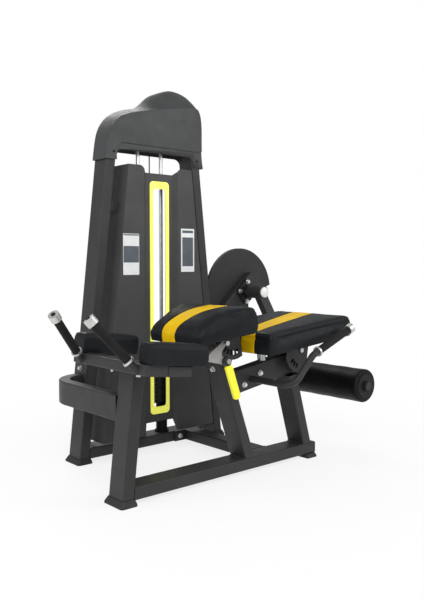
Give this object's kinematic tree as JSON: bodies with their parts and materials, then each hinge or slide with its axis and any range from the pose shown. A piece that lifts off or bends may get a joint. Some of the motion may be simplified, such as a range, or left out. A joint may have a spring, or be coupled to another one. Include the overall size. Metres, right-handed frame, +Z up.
{
  "type": "leg_extension_machine",
  "caption": "Selectorised leg extension machine: padded bench with folding back pad and tilting seat, elbow pads, swinging roller arm on a cam, cable and covered weight stack tower",
  "frame": {"origin": "on the floor under the middle of the head leg's foot", "axes": "+X along the bench from the head end to the roller, +Y from the bench to the weight tower, +Z up"},
  "size_m": [1.6107, 0.9424, 1.7574],
  "materials": {
    "frame_paint": "satin charcoal powder coat",
    "bearing_iron": "satin black paint on cast iron",
    "hood_plastic": "fine grained charcoal moulding",
    "foot_plastic": "matt black moulding",
    "yellow_plastic": "smooth bright yellow moulding",
    "steel": "zinc plated steel",
    "pad_leather": "matt black synthetic leather",
    "bar_paint": "satin dark powder coat",
    "grip_rubber": "matt black rubber",
    "roller_skin": "smooth skinned black foam",
    "pale_plastic": "pale smooth moulding",
    "cable_sheath": "black sheathed wire cable"
  },
  "bodies": {
    "frame": {"bench_rail": "frame_paint", "head_leg": "frame_paint", "mid_leg": "frame_paint", "rear_leg": "frame_paint", "seat_beam": "frame_paint", "head_crossbar": "frame_paint", "elbow_arms": "frame_paint", "link_tube": "frame_paint", "tower_rail": "frame_paint", "left_upright": "frame_paint", "right_upright": "frame_paint", "top_plates": "frame_paint", "brace": "frame_paint", "flange_plates": "frame_paint", "pivot_support": "frame_paint", "flange_bearing": "bearing_iron", "foot_boots": "foot_plastic", "front_cover": "frame_paint", "slot_frame": "yellow_plastic", "cover_brackets": "frame_paint", "tower_cap": "hood_plastic", "guide_rods": "steel", "stack_buffers": "grip_rubber", "plates_at_rest": "bearing_iron", "elbow_boards": "frame_paint", "elbow_pads": "pad_leather", "head_handle_bars": "bar_paint", "side_handles": "bar_paint", "grips": "grip_rubber", "grip_ends": "pale_plastic", "frame_bolts": "steel", "pulley_mounts": "steel", "cable": "cable_sheath", "cable_drop": "cable_sheath", "hip_bracket": "frame_paint", "hinge_pins": "steel", "latch_bracket": "steel", "seat_stop": "steel"},
    "arm": {"pivot_shaft": "steel", "arm_hub": "frame_paint", "arm_tube": "frame_paint", "cam": "frame_paint", "shaft_cap": "pale_plastic", "roller_axle": "steel"},
    "roller": {"roller_foam": "roller_skin", "roller_caps": "foot_plastic"},
    "stack": {"head_plate": "bearing_iron", "lifted_plates": "bearing_iron", "selector_stem": "steel"},
    "pin": {"selector_pin": "yellow_plastic"},
    "back": {"back_pad": "pad_leather", "back_frame": "frame_paint"},
    "lever": {"release_lever": "yellow_plastic"},
    "latch": {"latch_pin": "steel"},
    "seat": {"seat_pad": "pad_leather", "seat_frame": "frame_paint"},
    "plunger": {"seat_plunger": "grip_rubber"},
    "pulley_low": {"low_pulley": "foot_plastic"},
    "pulley_first": {"first_top_pulley": "foot_plastic"},
    "pulley_second": {"second_top_pulley": "foot_plastic"}
  },
  "joints": [
    {"name": "arm_swing", "type": "hinge", "parent": "frame", "child": "arm", "pos_m": [1.16, 0.448, 0.747], "axis": [0, -1, 0], "range_deg": [0, 100]},
    {"name": "roller_spin", "type": "hinge", "parent": "arm", "child": "roller", "pos_m": [1.255, 0.02, 0.322], "axis": [0, 1, 0], "continuous": true},
    {"name": "stack_lift", "type": "slide", "parent": "frame", "child": "stack", "axis": [0, 0, 1], "range_m": [0, 0.397], "deforming": ["cable_drop"]},
    {"name": "pin_pull", "type": "slide", "parent": "stack", "child": "pin", "axis": [0, -1, 0], "range_m": [0, 0.06]},
    {"name": "back_fold", "type": "hinge", "parent": "frame", "child": "back", "pos_m": [0.488, 0, 0.61], "axis": [0, 1, 0], "range_deg": [0, 72.5]},
    {"name": "lever_swing", "type": "hinge", "parent": "frame", "child": "lever", "pos_m": [0.425, -0.122, 0.511], "axis": [0, -1, 0], "range_deg": [0, 20]},
    {"name": "latch_travel", "type": "slide", "parent": "frame", "child": "latch", "axis": [0, 1, 0], "range_m": [0, 0.0101]},
    {"name": "seat_tilt", "type": "hinge", "parent": "frame", "child": "seat", "pos_m": [0.929, 0, 0.508], "axis": [0, 1, 0], "range_deg": [0, 29]},
    {"name": "plunger_travel", "type": "slide", "parent": "frame", "child": "plunger", "axis": [0, -1, 0], "range_m": [0, 0.009]},
    {"name": "low_pulley_spin", "type": "hinge", "parent": "frame", "child": "pulley_low", "pos_m": [0.802, 0.588, 0.562], "axis": [0, -1, 0], "range_deg": [0, 545]},
    {"name": "first_pulley_spin", "type": "hinge", "parent": "frame", "child": "pulley_first", "pos_m": [0.718, 0.588, 1.5], "axis": [0, 1, 0], "range_deg": [0, 545]},
    {"name": "second_pulley_spin", "type": "hinge", "parent": "frame", "child": "pulley_second", "pos_m": [0.608, 0.588, 1.5], "axis": [0, 1, 0], "range_deg": [0, 545]}
  ],
  "couplings": [
    {"joint": "stack_lift", "follows": "arm_swing", "m_per_rad": 0.227},
    {"joint": "low_pulley_spin", "follows": "arm_swing", "ratio": 5.4048},
    {"joint": "first_pulley_spin", "follows": "arm_swing", "ratio": 5.4048},
    {"joint": "second_pulley_spin", "follows": "arm_swing", "ratio": 5.4048},
    {"joint": "latch_travel", "follows": "lever_swing", "m_per_rad": 0.028648}
  ]
}
